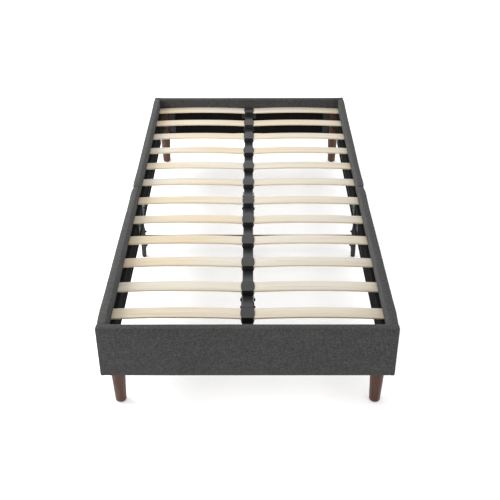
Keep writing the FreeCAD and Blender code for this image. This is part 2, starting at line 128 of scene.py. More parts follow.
# ---------------------------------------------------------------------------
# Materials
# ---------------------------------------------------------------------------
class Nodes:
    """A short way to wire a material's node tree."""

    def __init__(self, name):
        self.material = bpy.data.materials.new(name)
        self.material.use_nodes = True
        self.tree = self.material.node_tree
        self.shader = self.tree.nodes["Principled BSDF"]
        self.place = self.new("ShaderNodeTexCoord").outputs["Object"]

    def new(self, kind):
        return self.tree.nodes.new(kind)

    def link(self, source, target):
        self.tree.links.new(source, target)

    def scaled(self, x, y, z):
        """Object coordinates stretched by a factor along each axis."""
        node = self.new("ShaderNodeMapping")
        node.inputs["Scale"].default_value = (x, y, z)
        self.link(self.place, node.inputs["Vector"])
        return node.outputs["Vector"]

    def noise(self, vector, scale, detail=3.0, roughness=0.55, distortion=0.0):
        node = self.new("ShaderNodeTexNoise")
        node.inputs["Scale"].default_value = scale
        node.inputs["Detail"].default_value = detail
        node.inputs["Roughness"].default_value = roughness
        node.inputs["Distortion"].default_value = distortion
        self.link(vector, node.inputs["Vector"])
        return node.outputs["Fac"]

    def ramp(self, factor, stops):
        node = self.new("ShaderNodeValToRGB")
        elements = node.color_ramp.elements
        while len(elements) < len(stops):
            elements.new(0.5)
        for element, (position, colour) in zip(elements, stops):
            element.position = position
            element.color = (*colour, 1)
        self.link(factor, node.inputs["Fac"])
        return node.outputs["Color"]

    def math(self, operation, a, b=None):
        node = self.new("ShaderNodeMath")
        node.operation = operation
        for index, value in enumerate((a, b)):
            if value is None:
                continue
            if isinstance(value, (int, float)):
                node.inputs[index].default_value = value
            else:
                self.link(value, node.inputs[index])
        return node.outputs[0]

    def mix(self, factor, a, b, blend="MIX"):
        node = self.new("ShaderNodeMix")
        node.data_type = "RGBA"
        node.blend_type = blend
        for index, value in ((0, factor), (6, a), (7, b)):
            if isinstance(value, (int, float)):
                node.inputs[index].default_value = value
            elif isinstance(value, tuple):
                node.inputs[index].default_value = (*value, 1)
            else:
                self.link(value, node.inputs[index])
        return node.outputs[2]

    def bump(self, height, distance, strength=1.0):
        node = self.new("ShaderNodeBump")
        node.inputs["Distance"].default_value = distance
        node.inputs["Strength"].default_value = strength
        self.link(height, node.inputs["Height"])
        self.link(node.outputs["Normal"], self.shader.inputs["Normal"])

    def colour(self, source):
        self.link(source, self.shader.inputs["Base Color"])

    def set(self, name, value):
        self.shader.inputs[name].default_value = value


def face_selectors(nodes):
    """Factors that say whether a surface faces mainly across, along or upwards."""
    normal = nodes.new("ShaderNodeNewGeometry").outputs["True Normal"]
    parts = nodes.new("ShaderNodeSeparateXYZ")
    nodes.link(normal, parts.inputs[0])
    return [nodes.math("GREATER_THAN", nodes.math("ABSOLUTE", parts.outputs[i]), 0.6)
            for i in range(3)]


def threads(nodes, pitch, length):
    """Yarns of a plain weave as two crossed sets of streaks, on every side of an object."""
    across, _, up = face_selectors(nodes)
    fine, coarse = 1 / pitch, 1 / length

    def streaks(x, y, z):
        return nodes.noise(nodes.scaled(x, y, z), 1.0, detail=1.5, roughness=0.7)
    upright_x = streaks(coarse, fine, coarse)
    upright_y = streaks(fine, coarse, coarse)
    level = streaks(coarse, coarse, fine)
    warp = nodes.math("ADD", nodes.math("MULTIPLY", across, upright_x),
                      nodes.math("MULTIPLY", nodes.math("SUBTRACT", 1.0, across), upright_y))
    weft_up = nodes.math("MULTIPLY", up, upright_x)
    weft = nodes.math("ADD", weft_up,
                      nodes.math("MULTIPLY", nodes.math("SUBTRACT", 1.0, up), level))
    return warp, weft


def grey_cloth():
    """Heather cloth: light and dark grey yarns in a plain weave, with soft cloudy mottling."""
    nodes = Nodes("grey_heather_cloth")
    warp, weft = threads(nodes, 0.0016, 0.012)
    yarn = nodes.math("MAXIMUM", warp, weft)
    both = nodes.math("MULTIPLY", nodes.math("ADD", warp, weft), 0.5)
    heather = nodes.ramp(both, [(0.36, (0.024, 0.024, 0.024)), (0.50, (0.045, 0.045, 0.0445)),
                                (0.66, (0.084, 0.083, 0.082))])
    slubs = nodes.noise(nodes.place, 260.0, detail=2.0)
    cloudy = nodes.noise(nodes.place, 9.0, detail=4.0)
    knots = nodes.ramp(slubs, [(0.32, (0.91, 0.91, 0.91)), (0.68, (1.09, 1.09, 1.09))])
    shade = nodes.ramp(cloudy, [(0.3, (0.94, 0.94, 0.94)), (0.7, (1.05, 1.05, 1.05))])
    nodes.colour(nodes.mix(1.0, nodes.mix(1.0, heather, knots, "MULTIPLY"), shade, "MULTIPLY"))
    nodes.set("Roughness", 0.92)
    nodes.set("Sheen Weight", 0.06)
    nodes.set("Sheen Roughness", 0.45)
    nodes.set("Specular IOR Level", 0.2)
    nodes.bump(yarn, 0.0007, 0.8)
    return nodes.material


def black_lining():
    """Thin non-woven lining, pressed in a fine dot pattern."""
    nodes = Nodes("black_nonwoven_lining")
    cells = nodes.new("ShaderNodeTexVoronoi")
    cells.inputs["Scale"].default_value = 450.0
    nodes.link(nodes.place, cells.inputs["Vector"])
    fibres = nodes.noise(nodes.place, 260.0, detail=4.0, roughness=0.7)
    nodes.colour(nodes.ramp(fibres, [(0.35, (0.006, 0.006, 0.0065)), (0.7, (0.013, 0.013, 0.014))]))
    nodes.set("Roughness", 0.9)
    nodes.set("Specular IOR Level", 0.02)
    nodes.bump(cells.outputs["Distance"], 0.0003, 0.5)
    return nodes.material


def birch():
    """Pale varnished birch ply, grain along the slat, browner on the cut edges."""
    nodes = Nodes("birch_slat_wood")
    long_grain = nodes.noise(nodes.scaled(1.2, 55, 55), 1.6, detail=5.0, distortion=0.6)
    fine_grain = nodes.noise(nodes.scaled(9, 900, 900), 1.0, detail=2.0)
    flecks = nodes.noise(nodes.scaled(60, 700, 700), 1.0, detail=1.0)
    row_tone = nodes.noise(nodes.scaled(1.7, 5.1, 1), 1.0, detail=0.0)
    wood = nodes.ramp(long_grain, [(0.28, (0.43, 0.382, 0.288)), (0.48, (0.495, 0.448, 0.352)),
                                   (0.72, (0.54, 0.498, 0.405))])
    fine = nodes.ramp(fine_grain, [(0.3, (0.92, 0.90, 0.87)), (0.6, (1.0, 1.0, 1.0))])
    fleck = nodes.ramp(flecks, [(0.24, (0.84, 0.78, 0.70)), (0.33, (1.0, 1.0, 1.0))])
    tone = nodes.ramp(row_tone, [(0.38, (1.00, 0.925, 0.82)), (0.62, (0.98, 1.00, 1.06))])
    face = nodes.mix(1.0, nodes.mix(1.0, nodes.mix(1.0, wood, fine, "MULTIPLY"), fleck,
                                    "MULTIPLY"), tone, "MULTIPLY")
    up = face_selectors(nodes)[2]
    plies = nodes.new("ShaderNodeTexWave")
    plies.bands_direction = "Z"
    plies.inputs["Scale"].default_value = 290.0
    plies.inputs["Distortion"].default_value = 0.6
    nodes.link(nodes.place, plies.inputs["Vector"])
    edge = nodes.ramp(plies.outputs["Fac"], [(0.3, (0.52, 0.41, 0.27)), (0.7, (0.68, 0.57, 0.41))])
    nodes.colour(nodes.mix(nodes.math("SUBTRACT", 1.0, up), face, edge))
    nodes.set("Roughness", 0.45)
    nodes.set("Coat Weight", 0.15)
    nodes.set("Coat Roughness", 0.35)
    nodes.bump(fine_grain, 0.0002, 0.35)
    return nodes.material


def walnut():
    """Brown stained hardwood, grain running down the leg."""
    nodes = Nodes("walnut_stained_wood")
    bands = nodes.noise(nodes.scaled(34, 34, 2.2), 2.0, detail=5.0, distortion=0.9)
    pores = nodes.noise(nodes.scaled(900, 900, 22), 1.0, detail=2.0)
    wood = nodes.ramp(bands, [(0.30, (0.046, 0.018, 0.010)), (0.52, (0.075, 0.031, 0.018)),
                              (0.74, (0.112, 0.049, 0.030))])
    dark = nodes.ramp(pores, [(0.30, (0.62, 0.60, 0.58)), (0.46, (1.0, 1.0, 1.0))])
    nodes.colour(nodes.mix(1.0, wood, dark, "MULTIPLY"))
    nodes.set("Roughness", 0.5)
    nodes.set("Specular IOR Level", 0.28)
    nodes.set("Coat Weight", 0.04)
    nodes.set("Coat Roughness", 0.3)
    nodes.bump(pores, 0.0002, 0.4)
    return nodes.material


def board():
    """Plain softwood board inside the covers."""
    nodes = Nodes("softwood_board")
    grain = nodes.noise(nodes.scaled(4, 4, 90), 1.5, detail=4.0, distortion=0.8)
    nodes.colour(nodes.ramp(grain, [(0.3, (0.42, 0.29, 0.16)), (0.7, (0.62, 0.48, 0.30))]))
    nodes.set("Roughness", 0.7)
    nodes.bump(grain, 0.0003, 0.3)
    return nodes.material


def coated(name, dark, light, roughness, grain, depth):
    """Paint, powder coat or moulded plastic: a fine grain with slight colour change."""
    nodes = Nodes(name)
    fine = nodes.noise(nodes.place, grain, detail=3.0, roughness=0.6)
    broad = nodes.noise(nodes.place, 14.0, detail=3.0)
    nodes.colour(nodes.ramp(nodes.math("MULTIPLY", nodes.math("ADD", fine, broad), 0.5),
                            [(0.35, dark), (0.65, light)]))
    nodes.link(nodes.math("ADD", roughness - 0.08, nodes.math("MULTIPLY", broad, 0.16)),
               nodes.shader.inputs["Roughness"])
    nodes.set("Specular IOR Level", 0.36)
    nodes.bump(fine, depth, 0.5)
    return nodes.material


BLACK_LINING = black_lining()
MATERIALS = {
    "grey_cloth": grey_cloth(),
    "black_lining": BLACK_LINING,
    "wrapped_batten": BLACK_LINING,
    "birch": birch(),
    "walnut": walnut(),
    "board_wood": board(),
    "black_steel": coated("black_powder_coat", (0.010, 0.010, 0.0115), (0.019, 0.020, 0.022),
                          0.46, 1400.0, 0.0002),
    "black_plastic": coated("black_moulded_plastic", (0.005, 0.005, 0.0055),
                            (0.011, 0.011, 0.012), 0.52, 900.0, 0.00015),
    "black_bolts": coated("black_oxide_bolts", (0.008, 0.008, 0.009), (0.018, 0.018, 0.019),
                          0.40, 700.0, 0.0001),
}
for entry in frame["record"]["subparts"]:
    node = frame["nodes"][entry["node"]]
    node.data.materials.clear()
    node.data.materials.append(MATERIALS[entry["material_slot"]])


# ---------------------------------------------------------------------------
# Padded covers
# ---------------------------------------------------------------------------
CELL = 10 * MM
ROUNDING = 6 * MM
HEM_HEIGHT = 24 * MM
TOP_BAND = 8 * MM
STAPLED_RIM = 8 * MM
SUPPORT_LEG_Y = -14 * MM
LEG_ROOM = 85 * MM
FOAM_PRESSURE = 4.0
FOAM_LIMIT = 2.2 * MM
SETTLING_FRAMES = 20
# How a panel's padding stands beyond its box, by end: width, height at the top, drop at the bottom
PANEL_PADDING = {-1: (4.0 * MM, 3.5 * MM, 3.5 * MM), 1: (0.0, 0.0, 0.0)}


def spaced(low, high):
    """Places along one side of a box: close together at its rounded edges, else a cell apart."""
    near = [0.0, 0.25 * ROUNDING, 0.6 * ROUNDING]
    steps = max(2, round((high - low - 2 * ROUNDING) / CELL))
    middle = np.linspace(low + ROUNDING, high - ROUNDING, steps + 1)
    return np.array([low + n for n in near] + list(middle) + [high - n for n in reversed(near)])


def grid_box(low, high):
    """A closed box as a fine grid, ready to be shaped."""
    axes = [spaced(low[i], high[i]) for i in range(3)]
    counts = [len(axis) - 1 for axis in axes]
    index = {}
    vertices = []

    def vertex(key):
        if key not in index:
            index[key] = len(vertices)
            vertices.append([axes[i][key[i]] for i in range(3)])
        return index[key]
    faces = []
    for axis in range(3):
        u, v = [i for i in range(3) if i != axis]
        for end in (0, counts[axis]):
            for a in range(counts[u]):
                for b in range(counts[v]):
                    corners = []
                    for da, db in ((0, 0), (1, 0), (1, 1), (0, 1)):
                        key = [0, 0, 0]
                        key[axis], key[u], key[v] = end, a + da, b + db
                        corners.append(vertex(tuple(key)))
                    outward = (end > 0) == (axis != 1)
                    faces.append(corners if outward else corners[::-1])
    return np.array(vertices), faces


def rounded_points(points, low, high):
    """Rounds the edges and corners of a box's grid."""
    core = np.clip(points, low + ROUNDING, high - ROUNDING)
    offset = points - core
    length = np.linalg.norm(offset, axis=1, keepdims=True)
    length[length == 0] = 1
    beyond = np.abs(offset).max(axis=1, keepdims=True)
    return core + offset / length * beyond


def wander(point, scale, seed):
    """Smooth signed noise at a place."""
    return noise.noise(Vector(point) * scale + Vector((seed, 2.3 * seed, 0.7 * seed)))


def smooth(value):
    """Eases from 0 to 1."""
    value = min(1.0, max(0.0, value))
    return value * value * (3 - 2 * value)


def bulk(y):
    """How far a rail's padding stands out beyond its own line: fuller towards the foot."""
    even, full, narrow = 1.8 * MM, 4.7 * MM, 1.8 * MM
    towards_foot = max(0.0, -y - 0.2) / 0.75
    tucked_at_panel = 1 - 0.65 * smooth((-y - 0.92) / 0.08)
    waist = narrow * math.exp(-((y - 0.1) / 0.35) ** 2)
    return even + full * towards_foot ** 0.8 * tucked_at_panel - waist


def hem_roll(y):
    """How far the cloth folded under a rail's lining stands inwards: less towards the foot."""
    roll = 6.5 * MM - 7.2 * MM * max(0.0, -y)
    room_at_corner = smooth((INNER_Y - LEG_ROOM - abs(y)) / 0.05)
    room_at_leg = smooth((abs(y - SUPPORT_LEG_Y) - 11 * MM) / 0.008)
    return roll * room_at_corner * room_at_leg


def hem_share(z):
    """1 over the folded hem at the bottom of a rail, and 0 above it."""
    return smooth((RAIL_LOW + HEM_HEIGHT - z) / (8 * MM))


def panel_shape(sign):
    """Shape of a full-width panel: soft crown, full ends and gathers at the low corners."""
    fullness, rise, drop = PANEL_PADDING[sign]

    def shape(points, low, high):
        out = rounded_points(points, low, high)
        middle, half = (low + high) / 2, (high - low) / 2
        free = np.zeros(len(out))
        for i, point in enumerate(out):
            across = (point[0] - middle[0]) / half[0]
            up = (point[2] - middle[2]) / half[2]
            outer = (point[1] - middle[1]) * sign > half[1] * 0.2
            crown = (1 - across ** 8) * (1 - up ** 6)
            soft = wander(point, 3.0, 5) * 0.7 + wander(point, 11.0, 9) * 0.35
            end_gap = half[0] - abs(point[0] - middle[0])
            low_gap, top_gap = point[2] - low[2], high[2] - point[2]
            if outer:
                gather = math.exp(-(end_gap / 0.035) ** 2 - (low_gap / 0.035) ** 2)
                point[1] += sign * gather * 1.4 * MM * math.sin((end_gap + low_gap * 0.4) / 0.0045)
                point[1] += sign * soft * crown * MM
            inner_gap = half[1] + (point[1] - middle[1]) * sign
            if top_gap < TOP_BAND:
                point[2] += soft * 0.6 * MM
                free[i] = smooth(end_gap / 0.03) * smooth((inner_gap - STAPLED_RIM) / 0.012)
            if outer:
                free[i] = smooth(end_gap / 0.03) * smooth(low_gap / 0.03)
                point[2] -= drop * smooth(1 - low_gap / 0.04)
            point[2] += rise * smooth(1 - top_gap / 0.03)
            point[0] += fullness * math.copysign(smooth(1 - end_gap / 0.05), across)
        return out, free
    return shape


def rail_shape(side, end):
    """Shape of half a side rail: full towards the foot, pinched at the mid-length joint."""
    def shape(points, low, high):
        out = rounded_points(points, low, high)
        middle, half = (low + high) / 2, (high - low) / 2
        joint_y = low[1] if end > 0 else high[1]
        free = np.zeros(len(out))
        for i, point in enumerate(out):
            along = (point[1] - middle[1]) / half[1]
            up = (point[2] - middle[2]) / half[2]
            gap = abs(point[1] - joint_y)
            end_gap = half[1] - abs(point[1] - middle[1])
            pinch = 3.8 * MM * math.exp(-(gap / 0.015) ** 1.3)
            crown = (1 - along ** 8) * (1 - up ** 6)
            soft = wander(point, 3.0, 21) * 0.8 + wander(point, 12.0, 4) * 0.4
            low_gap, top_gap = point[2] - low[2], high[2] - point[2]
            outwards = (point[0] - middle[0]) * side / half[0]
            inner_gap = half[0] * (outwards + 1)
            turned_in = smooth(1 - end_gap / 0.013) if gap > 0.1 else 0.0
            point[1] += end * 0.8 * MM * turned_in
            if top_gap < TOP_BAND:
                point[2] -= 2.0 * MM * max(0.0, outwards) ** 2
                point[2] += soft * 0.6 * MM - pinch * 0.7 - turned_in * 1.5 * MM
                free[i] = smooth(end_gap / 0.02) * smooth((inner_gap - STAPLED_RIM) / 0.012)
            if outwards > 0:
                point[0] += side * (soft * crown * MM - pinch)
                free[i] = smooth(end_gap / 0.02) * smooth(low_gap / 0.03)
            elif low_gap < HEM_HEIGHT:
                inwards = max(0.0, hem_roll(point[1]) - 1.0 * MM)
                point[0] -= side * inwards * hem_share(point[2]) * min(1.0, -outwards)
            point[0] += side * bulk(point[1]) * smooth((outwards + 1) / 2)
        return out, free
    return shape


def settle(items):
    """Lets the foam press every cover outwards while its stapled parts are held still."""
    scene = bpy.context.scene
    for item, free in items:
        group = item.vertex_groups.new(name="held")
        for index, share in enumerate(free):
            group.add([index], 1.0 - float(share), "REPLACE")
        cloth = item.modifiers.new("cloth", "CLOTH")
        cloth.settings.quality = 5
        cloth.settings.vertex_group_mass = group.name
        cloth.settings.use_pressure = True
        cloth.settings.uniform_pressure_force = FOAM_PRESSURE
        cloth.settings.effector_weights.gravity = 0.0
        cloth.point_cache.frame_start, cloth.point_cache.frame_end = 1, SETTLING_FRAMES
    for number in range(1, SETTLING_FRAMES + 1):
        scene.frame_set(number)
    graph = bpy.context.evaluated_depsgraph_get()
    settled = []
    for item, _ in items:
        shown = item.evaluated_get(graph).data
        places = np.empty(len(shown.vertices) * 3)
        shown.vertices.foreach_get("co", places)
        settled.append(places.reshape(-1, 3))
    for (item, _), places in zip(items, settled):
        item.modifiers.clear()
        item.vertex_groups.clear()
        start = np.empty(places.size)
        item.data.vertices.foreach_get("co", start)
        start = start.reshape(-1, 3)
        move = places - start
        length = np.linalg.norm(move, axis=1, keepdims=True)
        length[length == 0] = 1e-9
        move *= FOAM_LIMIT * np.tanh(length / FOAM_LIMIT) / length
        item.data.vertices.foreach_set("co", (start + move).ravel())
        item.data.update()
    scene.frame_set(1)


def hollow(item, *cutters):
    """Takes boxes out of a closed mesh."""
    for low, high in cutters:
        bpy.ops.mesh.primitive_cube_add(size=1)
        cutter = bpy.context.object
        cutter.scale = Vector(high) - Vector(low)
        cutter.location = (Vector(high) + Vector(low)) / 2
        step = item.modifiers.new("hollow", "BOOLEAN")
        step.operation = "DIFFERENCE"
        step.solver = "EXACT"
        step.object = cutter
        bpy.context.view_layer.update()
        apply_modifiers(item)
        bpy.data.objects.remove(cutter)


def lining_room(prefix):
    """The space that a panel's or rail's lining needs, above any folded hem."""
    board_low, board_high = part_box(prefix + "_board")
    low, high = board_low.copy(), board_high.copy()
    if "panel" in prefix:
        if low.y > 0:
            low.y, high.y = INNER_Y - 0.02, board_low.y
        else:
            low.y, high.y = board_high.y, -INNER_Y + 0.02
        low.z = RAIL_LOW - 0.01
    else:
        if low.x > 0:
            low.x, high.x = INNER_X - 0.02, board_low.x
        else:
            low.x, high.x = board_high.x, -INNER_X + 0.02
        low.z = RAIL_LOW + HEM_HEIGHT
    high.z = HEM_LEVEL
    return low, high


def upholster(prefixes_and_shapes):
    """Makes the covers, lets their foam settle, hollows them and dresses them."""
    covers = []
    for prefix, shape in prefixes_and_shapes:
        low, high = (np.array(corner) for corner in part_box(prefix + "_cover"))
        points, faces = grid_box(low, high)
        points, free = shape(points, low, high)
        covers.append((mesh_object(prefix + "_upholstery", points, faces), free))
    settle(covers)
    for (prefix, _), (item, _) in zip(prefixes_and_shapes, covers):
        item.modifiers.new("soft", "SUBSURF").levels = 1
        apply_modifiers(item)
        hollow(item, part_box(prefix + "_board"), lining_room(prefix))
        shade_by_angle(item, 40)
        finish_piece(item, MATERIALS["grey_cloth"], [prefix + "_cover"])


upholster([(end_name + "_panel", panel_shape(end_sign)) for end_name, end_sign in ENDS]
          + [("%s_rail_%s" % (side_name, end_name), rail_shape(side_sign, end_sign))
             for side_name, side_sign in SIDES for end_name, end_sign in ENDS])


# ---------------------------------------------------------------------------
# Linings
# ---------------------------------------------------------------------------
LINING = 0.8 * MM


def lining(name, low, high, face_axis, face_sign, roll):
    """A thin stretched sheet on the inside of a panel or rail, slightly slack between staples."""
    u_axis = 1 - face_axis
    columns, rows = 220, 30
    face = high[face_axis] if face_sign > 0 else low[face_axis]
    vertices = []
    for layer in range(2):
        for row in range(rows + 1):
            z = low[2] + (high[2] - low[2]) * row / rows
            edge = min(1.0, min(row, rows - row) / rows * 4)
            for column in range(columns + 1):
                u = low[u_axis] + (high[u_axis] - low[u_axis]) * column / columns
                slack = wander((u, z, face_sign), 9.0, 31) * 0.5 \
                    + wander((u * 0.4, z * 3, face_sign), 20.0, 3) * 0.35
                proud = slack * edge * 0.5 * MM + roll(u) * hem_share(z)
                point = [0, 0, z]
                point[face_axis] = face + face_sign * (min(proud, roll(u) + 0.1 * MM)
                                                       - layer * LINING)
                point[u_axis] = u
                vertices.append(point)
    faces = []
    span = columns + 1
    sheet = span * (rows + 1)
    flip = (face_sign > 0) == (face_axis == 0)
    for row in range(rows):
        for column in range(columns):
            a = row * span + column
            quad = (a, a + 1, a + 1 + span, a + span)
            faces.append(quad if flip else quad[::-1])
            back = tuple(v + sheet for v in quad)
            faces.append(back[::-1] if flip else back)
    rim = list(range(columns + 1))
    rim += [row * span + columns for row in range(1, rows + 1)]
    rim += [rows * span + column for column in range(columns - 1, -1, -1)]
    rim += [row * span for row in range(rows - 1, 0, -1)]
    for a, b in zip(rim, rim[1:] + rim[:1]):
        quad = (b, a, a + sheet, b + sheet)
        faces.append(quad if flip else quad[::-1])
    return mesh_object(name, vertices, faces)


def line_with(prefix, low, high, face_axis, face_sign, roll, node):
    """Hangs one lining and hides the CAD lining node it stands for."""
    item = lining(prefix + "_lining_sheet", low, high, face_axis, face_sign, roll)
    finish_piece(item, MATERIALS["black_lining"], [node])


for end_name, end_sign in ENDS:
    lining_node = end_name + "_panel_lining"
    low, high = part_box(lining_node)
    line_with(end_name + "_panel", low, high, 1, -end_sign, lambda u: 0.0, lining_node)
for side_name, side_sign in SIDES:
    lining_node = side_name + "_rail_linings"
    for end_name, end_sign in ENDS:
        low, high = (corner.copy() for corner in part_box(lining_node))
        board_low, board_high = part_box("%s_rail_%s_board" % (side_name, end_name))
        low.y, high.y = board_low.y, board_high.y
        line_with("%s_rail_%s" % (side_name, end_name), low, high, 0, -side_sign, hem_roll,
                  lining_node)


# ---------------------------------------------------------------------------
# Slats and the wrapped battens under their outer ends
# ---------------------------------------------------------------------------
SLAT_THICKNESS = 7 * MM
SLAT_INNER_END = 4 * MM
BATTEN_THIN = 7 * MM
BATTEN_GAP = 4 * MM
BATTEN_THIN_LENGTH = 83 * MM


def rounded_section(width, height, radius, steps=4):
    """A rounded rectangle about zero, as points in its own plane."""
    section = []
    for corner in range(4):
        start = corner * math.pi / 2
        cx = (width / 2 - radius) * (1 if corner in (0, 3) else -1)
        cy = (height / 2 - radius) * (1 if corner in (0, 1) else -1)
        for step in range(steps + 1):
            angle = start + step / steps * math.pi / 2
            section.append((cx + radius * math.cos(angle), cy + radius * math.sin(angle)))
    return section


def skinned(name, loops, reverse):
    """A closed form through loops of points, with flat ends."""
    count = len(loops[0])
    vertices = [point for loop in loops for point in loop]
    faces = []
    for number in range(len(loops) - 1):
        for k in range(count):
            a, b = number * count + k, number * count + (k + 1) % count
            faces.append((a, b, b + count, a + count))
    faces.append(tuple(range(count))[::-1])
    faces.append(tuple((len(loops) - 1) * count + k for k in range(count)))
    if reverse:
        faces = [face[::-1] for face in faces]
    item = mesh_object(name, vertices, faces)
    shade_by_angle(item, 50)
    return item


def slat(name, row_node, side):
    """One bowed half slat with rounded long edges and eased ends."""
    low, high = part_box(row_node)
    bow = high.z - low.z - SLAT_THICKNESS
    length = high.x - SLAT_INNER_END
    centre_y = (low.y + high.y) / 2
    seed = centre_y * 7 + side * 3
    section = rounded_section(high.y - low.y, SLAT_THICKNESS, 2.2 * MM)
    ends = [0, 0.7 * MM, 2.2 * MM]
    stations = ends + list(np.linspace(6 * MM, length - 6 * MM, 44)) \
        + [length - gap for gap in reversed(ends)]
    loops = []
    for distance in stations:
        t = 2 * distance / length - 1
        rise = bow * (1 - t * t) * (1 + 0.05 * noise.noise(Vector((seed, 0, 1))))
        end_gap = min(distance, length - distance)
        ease = 1 - 0.16 * max(0, 1 - end_gap / (2.2 * MM)) ** 2
        twist = 0.006 * noise.noise(Vector((seed, distance * 2, 0)))
        loops.append([(side * (SLAT_INNER_END + distance),
                       centre_y + y * (1 - (1 - ease) * 0.08),
                       low.z + SLAT_THICKNESS / 2 + rise + z * ease + twist * y)
                      for y, z in section])
    item = skinned(name, loops, side < 0)
    return finish_piece(item, MATERIALS["birch"], [row_node])


def batten(side_name, side, end_name, end):
    """A wooden batten wrapped in lining, thinned where it passes over the corner leg."""
    node = side_name + "_slat_ledges"
    low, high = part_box(node)
    width = high.x - low.x
    reach = INNER_Y - BATTEN_GAP
    thinned_from = INNER_Y - BATTEN_THIN_LENGTH
    stations = [BATTEN_GAP, BATTEN_GAP + 0.6 * MM, BATTEN_GAP + 2 * MM]
    stations += list(np.linspace(0.02, thinned_from - 0.004, 60))
    stations += [thinned_from, thinned_from + 0.0002]
    stations += list(np.linspace(thinned_from + 0.004, reach, 8))
    loops = []
    for distance in stations:
        depth = BATTEN_THIN if distance > thinned_from else high.z - low.z
        end_gap = min(distance - BATTEN_GAP, reach - distance)
        inset = 0.8 * MM * max(0.0, 1 - end_gap / (1.5 * MM))
        loop = []
        for x, z in rounded_section(width - inset, depth - inset, 1.8 * MM):
            place = Vector((side * ((low.x + high.x) / 2 * side + x), end * distance,
                            high.z - depth / 2 + z))
            away = -side * (place.x - (low.x + high.x) / 2) > width * 0.3
            if away and end_gap > 3 * MM:
                place.x -= side * 0.35 * MM * (wander(place, 14.0, 8) - 0.5)
            loop.append(place)
        loops.append(loop)
    item = skinned("%s_%s_wrapped_batten" % (side_name, end_name), loops, side * end > 0)
    finish_piece(item, MATERIALS["wrapped_batten"], [node])


for row in range(1, SLAT_ROWS + 1):
    for side_name, side_sign in SIDES:
        slat("%s_slat_%02d" % (side_name, row), "slat_row_%02d" % row, side_sign)
for side_name, side_sign in SIDES:
    for end_name, end_sign in ENDS:
        batten(side_name, side_sign, end_name, end_sign)


# ---------------------------------------------------------------------------
# Tapered legs
# ---------------------------------------------------------------------------
LEG_INSET = 51 * MM
LEG_FOOT, LEG_SHOULDER = 20.5 * MM, 27 * MM
LEG_BLOCK = 38 * MM
STEEL = 3 * MM


def lathe(name, rings, origin, axis, count=32, socket=()):
    """A turned form from rings of (distance along the axis, radius); some may be six-sided."""
    turn = Vector(axis).to_track_quat("Z", "Y").to_matrix()
    loops = []
    for number, (distance, radius) in enumerate(rings):
        loop = []
        for k in range(count):
            angle = 2 * math.pi * k / count
            reach = radius
            if number in socket:
                reach /= math.cos((angle + math.pi / 6) % (math.pi / 3) - math.pi / 6)
            loop.append(Vector(origin) + turn @ Vector((reach * math.cos(angle),
                                                        reach * math.sin(angle), distance)))
        loops.append(loop)
    return skinned(name, loops, False)


def corner_leg(node):
    """A turned leg: eased foot and straight taper."""
    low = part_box(node)[0]
    centre = (math.copysign(abs(HIGH.x) - LEG_INSET, low.x),
              math.copysign(abs(HIGH.y) - LEG_INSET, low.y), low.z)
    tall = RAIL_LOW - low.z
    rings = [(0, LEG_FOOT - 2.8 * MM), (0.5 * MM, LEG_FOOT - 1.5 * MM),
             (1.5 * MM, LEG_FOOT - 0.5 * MM), (3.2 * MM, LEG_FOOT)]
    rings += [(3.2 * MM + t * (tall - 4.2 * MM), LEG_FOOT + t * (LEG_SHOULDER - LEG_FOOT))
              for t in np.linspace(0.1, 1, 10)]
    rings.append((tall, LEG_SHOULDER - 0.8 * MM))
    item = lathe(node.replace("_leg", "_turned_leg"), rings, centre, (0, 0, 1), 64)
    return finish_piece(item, MATERIALS["walnut"], [node])


def leg_block(node):
    """The squared upper part of a leg, inside the corner."""
    low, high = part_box(node)
    wall = (INNER_X - STEEL, INNER_Y - STEEL)
    centre = [math.copysign(wall[i] - LEG_BLOCK / 2, low[i]) for i in range(2)]
    section = rounded_section(LEG_BLOCK, LEG_BLOCK, 4 * MM)
    loops = [[(centre[0] + u * scale, centre[1] + v * scale, z) for u, v in section]
             for z, scale in ((RAIL_LOW - 0.4 * MM, 1), (high.z - 1.5 * MM, 1),
                              (high.z - 0.5 * MM, 0.985), (high.z, 0.95))]
    item = skinned(node + "_block", loops, False)
    return finish_piece(item, MATERIALS["walnut"], [node])


for end_name, end_sign in ENDS:
    for side_name, side_sign in SIDES:
        node_name = "%s_%s_leg" % (end_name, side_name)
        corner_leg(node_name)
        leg_block(node_name)


# ---------------------------------------------------------------------------
# Bolts
# ---------------------------------------------------------------------------
HEAD_RADIUS, HEAD_HEIGHT = 6.5 * MM, 4.5 * MM
CRADLE_BOLTS = (("foot", (-49, 0, 49)), ("middle", (-54, 54)), ("head", (-49, 0, 49)))
CROSSBAR_LEVELS = (("low", 62 * MM), ("high", 137 * MM))
PLATE_BOLT_INSET, PLATE_BOLTS_Y = 22 * MM, (-80, -50, 50, 80)
LEG_BOLT_LEVEL = 210 * MM


def socket_head(name, origin, axis, node):
    """A domed bolt head with a six-sided socket."""
    r, h = HEAD_RADIUS, HEAD_HEIGHT
    rings = [(0, r), (0.35 * h, r), (0.65 * h, 0.93 * r), (0.88 * h, 0.76 * r), (h, 0.56 * r),
             (h, 0.40 * r), (0.45 * h, 0.38 * r), (0.40 * h, 0.1 * r)]
    item = lathe(name, rings, origin, axis, 36, socket=(5, 6))
    finish_piece(item, MATERIALS["black_bolts"], [node])


def knob(name, origin, axis, node):
    """A fastener with a washer face and a tapered tip."""
    rings = [(0, 6.5 * MM), (1.6 * MM, 6.5 * MM), (2.2 * MM, 5.6 * MM), (4.5 * MM, 5.0 * MM),
             (7.2 * MM, 3.4 * MM), (8.0 * MM, 2.2 * MM)]
    item = lathe(name, rings, origin, axis, 28)
    finish_piece(item, MATERIALS["black_bolts"], [node])


